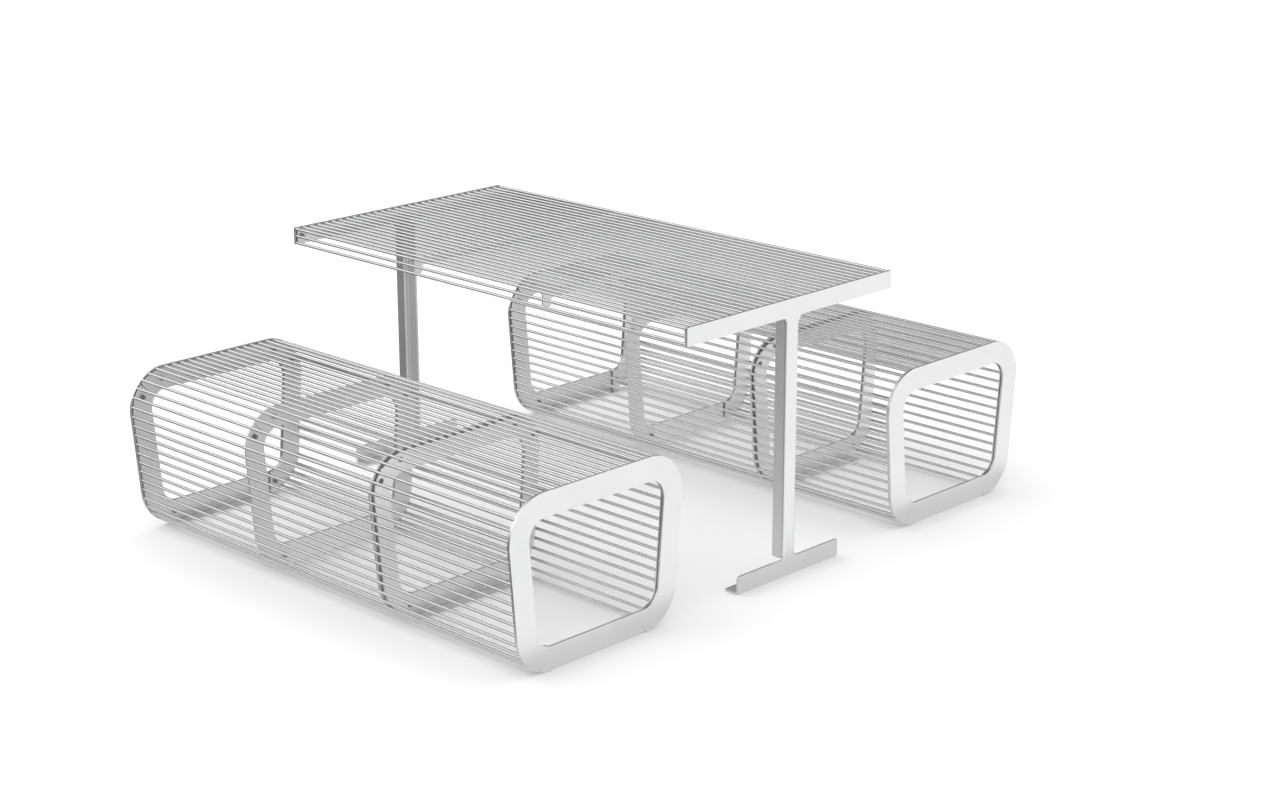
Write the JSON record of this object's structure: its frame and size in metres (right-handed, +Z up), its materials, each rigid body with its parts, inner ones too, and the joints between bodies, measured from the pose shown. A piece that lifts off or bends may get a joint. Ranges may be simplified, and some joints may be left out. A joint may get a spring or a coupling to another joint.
{
  "type": "picnic table",
  "caption": "Picnic set of bent steel plate and steel rod: a table on two T-shaped legs between two loose tunnel-shaped benches.",
  "frame": {"origin": "on the ground, under the middle of the table, which is the middle of the set's bounding box", "axes": "+X along the table and the rods, towards its right end; +Y across the table towards the rear bench; +Z up"},
  "size_m": [1.52, 1.9798, 0.75],
  "materials": {
    "plate": "satin light grey",
    "rib": "satin light grey",
    "rod": "satin light grey",
    "fastener": "plain steel",
    "spacer": "plain steel"
  },
  "bodies": {
    "root": {"leg_plate_left": "plate", "leg_plate_right": "plate", "table_top_rods": "rod", "table_front_edge_rods": "rod", "table_rear_edge_rods": "rod", "table_studs": "fastener", "table_dome_nuts": "fastener", "table_spacers": "spacer", "table_rib_1": "rib", "table_rib_2": "rib", "table_rib_3": "rib", "table_rib_4": "rib", "front_bench_ring_1": "plate", "front_bench_ring_2": "plate", "front_bench_ring_3": "plate", "front_bench_ring_4": "plate", "front_bench_seat_rib_1": "rib", "front_bench_seat_rib_2": "rib", "front_bench_seat_rib_3": "rib", "front_bench_seat_rib_4": "rib", "front_bench_seat_rods": "rod", "front_bench_outer_rib_1": "rib", "front_bench_outer_rib_2": "rib", "front_bench_outer_rib_3": "rib", "front_bench_outer_rib_4": "rib", "front_bench_outer_rods": "rod", "front_bench_inner_rib_1": "rib", "front_bench_inner_rib_2": "rib", "front_bench_inner_rib_3": "rib", "front_bench_inner_rib_4": "rib", "front_bench_inner_rods": "rod", "front_bench_bolts": "fastener", "front_bench_studs": "fastener", "front_bench_dome_nuts": "fastener", "front_bench_spacers": "spacer", "rear_bench_ring_1": "plate", "rear_bench_ring_2": "plate", "rear_bench_ring_3": "plate", "rear_bench_ring_4": "plate", "rear_bench_seat_rib_1": "rib", "rear_bench_seat_rib_2": "rib", "rear_bench_seat_rib_3": "rib", "rear_bench_seat_rib_4": "rib", "rear_bench_seat_rods": "rod", "rear_bench_outer_rib_1": "rib", "rear_bench_outer_rib_2": "rib", "rear_bench_outer_rib_3": "rib", "rear_bench_outer_rib_4": "rib", "rear_bench_outer_rods": "rod", "rear_bench_inner_rib_1": "rib", "rear_bench_inner_rib_2": "rib", "rear_bench_inner_rib_3": "rib", "rear_bench_inner_rib_4": "rib", "rear_bench_inner_rods": "rod", "rear_bench_bolts": "fastener", "rear_bench_studs": "fastener", "rear_bench_dome_nuts": "fastener", "rear_bench_spacers": "spacer"}
  },
  "joints": []
}
